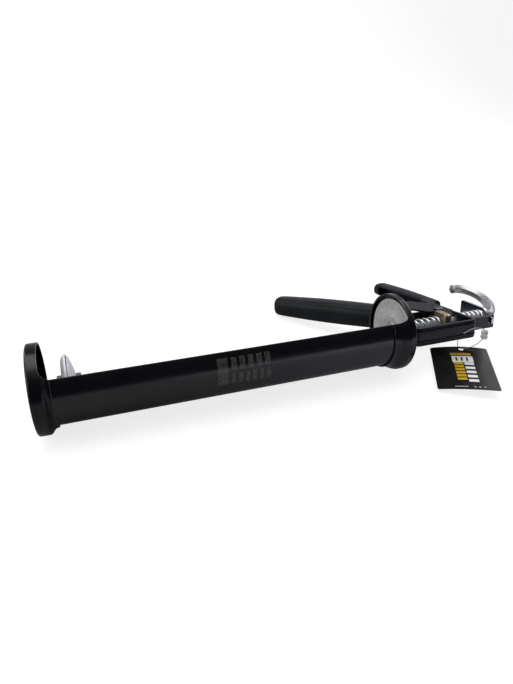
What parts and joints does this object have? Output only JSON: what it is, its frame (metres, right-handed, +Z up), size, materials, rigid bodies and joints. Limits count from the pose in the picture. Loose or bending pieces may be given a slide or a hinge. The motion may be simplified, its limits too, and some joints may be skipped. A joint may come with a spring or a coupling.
{
  "type": "caulking gun",
  "caption": "Hand-operated cartridge caulking gun with a rotating half-tube cradle, hooked push rod, trigger and thumb release, lying on its side with a swing tag.",
  "frame": {"origin": "on the floor, under the middle of the gun's bounding box (the swing tag and its loop not counted)", "axes": "+X along the push rod from the nozzle end to the hook, +Y level, towards the handle side, +Z up from the floor that the gun lies on"},
  "size_m": [0.3958, 0.2025, 0.0623],
  "materials": {
    "tube_paint": "satin black paint",
    "cap_paint": "satin black paint",
    "frame_paint": "satin black paint",
    "grip_paint": "satin black paint, slightly cooler",
    "disc_zinc": "mottled zinc plate",
    "bright_zinc": "bright zinc plate",
    "rod_zinc": "drawn steel, zinc plated",
    "spring_zinc": "bright spring wire",
    "bronze_zinc": "yellow-brown passivated steel",
    "tag_card": "printed card, satin",
    "nylon": "translucent nylon"
  },
  "bodies": {
    "gun_frame": {"frame": "frame_paint", "swivel_bush": "bright_zinc", "thrust_washer": "bright_zinc", "handle": "grip_paint", "handle_rivet_1": "bright_zinc", "handle_rivet_2": "bright_zinc", "trigger_pivot_pin": "bright_zinc", "driver_spring": "spring_zinc", "release_spring": "spring_zinc", "swing_tag": "tag_card", "tag_loop": "nylon", "tag_lock": "nylon"},
    "cradle": {"cradle_tube": "tube_paint", "front_cap": "cap_paint", "rear_cap": "cap_paint", "retainer_disc": "disc_zinc"},
    "rod": {"push_rod": "rod_zinc", "piston_plate": "bright_zinc", "piston_backing": "bright_zinc", "piston_nut_front": "bright_zinc", "piston_nut_rear": "bright_zinc"},
    "trigger": {"trigger": "grip_paint"},
    "driver": {"driver_plate_front": "bronze_zinc", "driver_plate_rear": "bronze_zinc"},
    "release": {"release_plate": "bright_zinc"}
  },
  "joints": [
    {"name": "cradle_spin", "type": "hinge", "parent": "gun_frame", "child": "cradle", "pos_m": [0.08114, -0.04941, 0.03117], "axis": [1, 0, 0], "continuous": true},
    {"name": "rod_slide", "type": "slide", "parent": "gun_frame", "child": "rod", "axis": [1, 0, 0], "range_m": [0, 0.24]},
    {"name": "trigger_pull", "type": "hinge", "parent": "gun_frame", "child": "trigger", "pos_m": [0.13414, -0.03565, 0.0286], "axis": [0, -0.184, -0.9829], "range_deg": [0, 36], "stiffness_Nm_per_rad": 0.5, "springref_deg": -17.19},
    {"name": "driver_slide", "type": "slide", "parent": "gun_frame", "child": "driver", "axis": [1, 0, 0], "range_m": [-0.0102, 0.0005], "deforming": ["driver_spring"]},
    {"name": "release_press", "type": "hinge", "parent": "gun_frame", "child": "release", "pos_m": [0.16923, -0.05964, 0.03309], "axis": [0, 0.184, 0.9829], "range_deg": [0, 5], "stiffness_Nm_per_rad": 0.4, "springref_deg": -8.59, "deforming": ["release_spring"]}
  ],
  "couplings": [
    {"joint": "driver_slide", "follows": "trigger_pull", "m_per_rad": -0.016}
  ]
}
